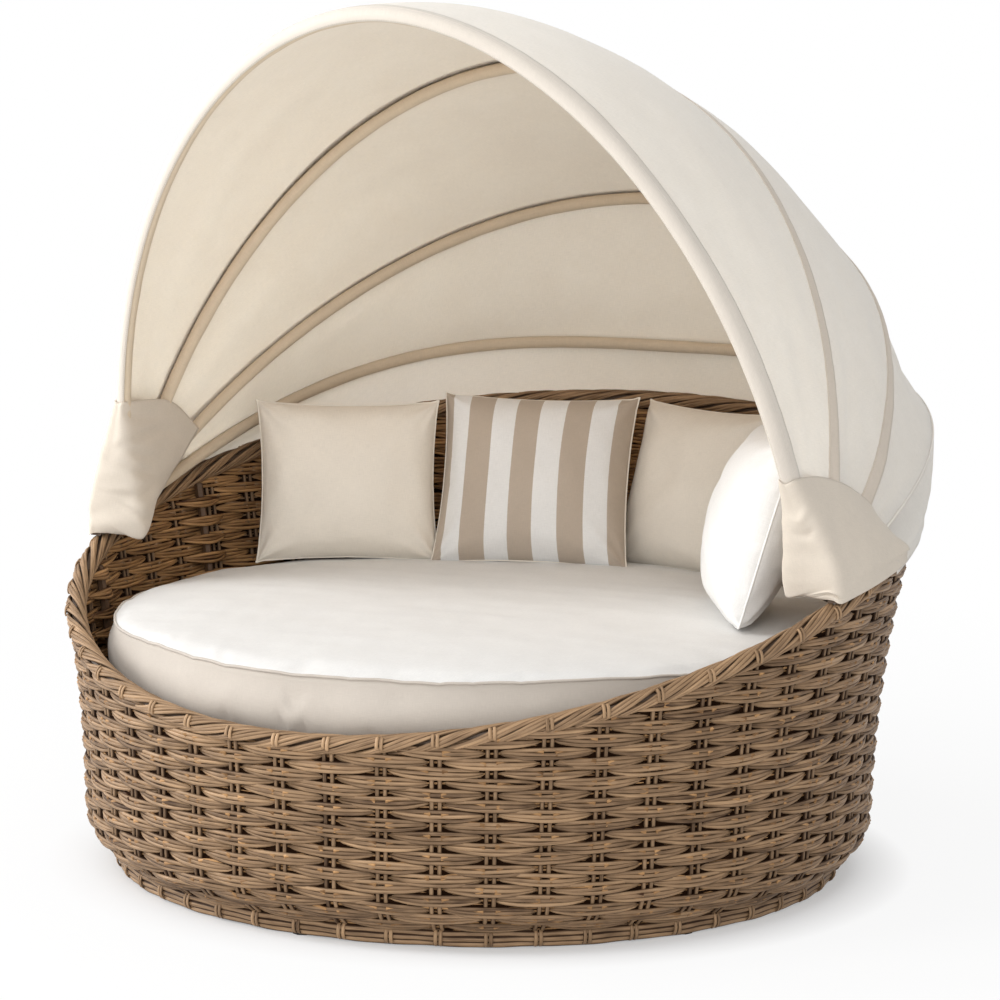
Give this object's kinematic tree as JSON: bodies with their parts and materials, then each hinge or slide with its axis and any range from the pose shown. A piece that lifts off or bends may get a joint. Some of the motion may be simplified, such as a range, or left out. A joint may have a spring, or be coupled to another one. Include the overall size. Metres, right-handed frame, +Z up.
{
  "type": "outdoor daybed with canopy",
  "caption": "Round woven outdoor daybed with a sloping basket wall, a boxed round seat cushion, loose scatter cushions and a folding fabric canopy on hooped bows.",
  "frame": {"origin": "on the floor under the middle of the basket, at the middle foot's underside", "axes": "+Z up, -Y towards the open front, +X to the sitter's left; the canopy's pivots lie along X"},
  "size_m": [1.709, 1.7459, 1.6982],
  "materials": {
    "wicker": "matte",
    "frame_tube": "satin",
    "bow_tube": "satin",
    "fasteners": "satin",
    "foot_rubber": "matte",
    "deck_board": "matte",
    "seat_fabric": "matte",
    "beige_fabric": "matte",
    "striped_fabric": "matte",
    "canopy_fabric": "matte"
  },
  "bodies": {
    "basket": {"wicker_wall": "wicker", "base_border": "wicker", "rim_braid": "wicker", "base_ring": "frame_tube", "rim_tube": "frame_tube", "seat_ring": "frame_tube", "upright_1": "frame_tube", "upright_2": "frame_tube", "upright_3": "frame_tube", "upright_4": "frame_tube", "upright_5": "frame_tube", "upright_6": "frame_tube", "upright_7": "frame_tube", "upright_8": "frame_tube", "upright_9": "frame_tube", "upright_10": "frame_tube", "upright_11": "frame_tube", "upright_12": "frame_tube", "seat_beam_1": "frame_tube", "seat_beam_2": "frame_tube", "seat_beam_3": "frame_tube", "middle_leg": "frame_tube", "pivot_bracket_right": "frame_tube", "pivot_bracket_left": "frame_tube", "rear_bow": "bow_tube", "pivot_pin_right": "fasteners", "pivot_pin_left": "fasteners", "pivot_washer_right_1": "fasteners", "pivot_washer_right_2": "fasteners", "pivot_washer_left_1": "fasteners", "pivot_washer_left_2": "fasteners", "pivot_nut_right": "fasteners", "pivot_nut_left": "fasteners", "bracket_screw_right_1": "fasteners", "bracket_screw_right_2": "fasteners", "bracket_screw_left_1": "fasteners", "bracket_screw_left_2": "fasteners", "middle_foot": "foot_rubber", "foot_1": "foot_rubber", "foot_2": "foot_rubber", "foot_3": "foot_rubber", "foot_4": "foot_rubber", "foot_5": "foot_rubber", "foot_6": "foot_rubber", "seat_deck": "deck_board", "seat_cushion": "seat_fabric", "pillow_white": "seat_fabric", "cushion_left": "beige_fabric", "cushion_right": "beige_fabric", "cushion_striped": "striped_fabric", "canopy_skirt": "canopy_fabric", "side_pocket_right": "canopy_fabric", "side_pocket_left": "canopy_fabric"},
    "third_hoop": {"third_bow": "bow_tube", "canopy_back_panel": "canopy_fabric"},
    "second_hoop": {"second_bow": "bow_tube", "canopy_top_panel": "canopy_fabric"},
    "front_hoop": {"front_bow": "bow_tube", "canopy_front_panel": "canopy_fabric"}
  },
  "joints": [
    {"name": "third_fold", "type": "hinge", "parent": "basket", "child": "third_hoop", "pos_m": [0, -0.12012, 0.63604], "axis": [-1, 0, 0], "range_deg": [0, 11.1], "deforming": ["canopy_back_panel", "side_pocket_right", "side_pocket_left"]},
    {"name": "second_fold", "type": "hinge", "parent": "third_hoop", "child": "second_hoop", "pos_m": [0, -0.12012, 0.63604], "axis": [-1, 0, 0], "range_deg": [0, 27], "deforming": ["canopy_top_panel"]},
    {"name": "front_fold", "type": "hinge", "parent": "second_hoop", "child": "front_hoop", "pos_m": [0, -0.12012, 0.63604], "axis": [-1, 0, 0], "range_deg": [0, 36.3], "deforming": ["canopy_front_panel"]}
  ],
  "couplings": [
    {"joint": "second_fold", "follows": "front_fold", "ratio": 0.7438},
    {"joint": "third_fold", "follows": "front_fold", "ratio": 0.30578}
  ]
}
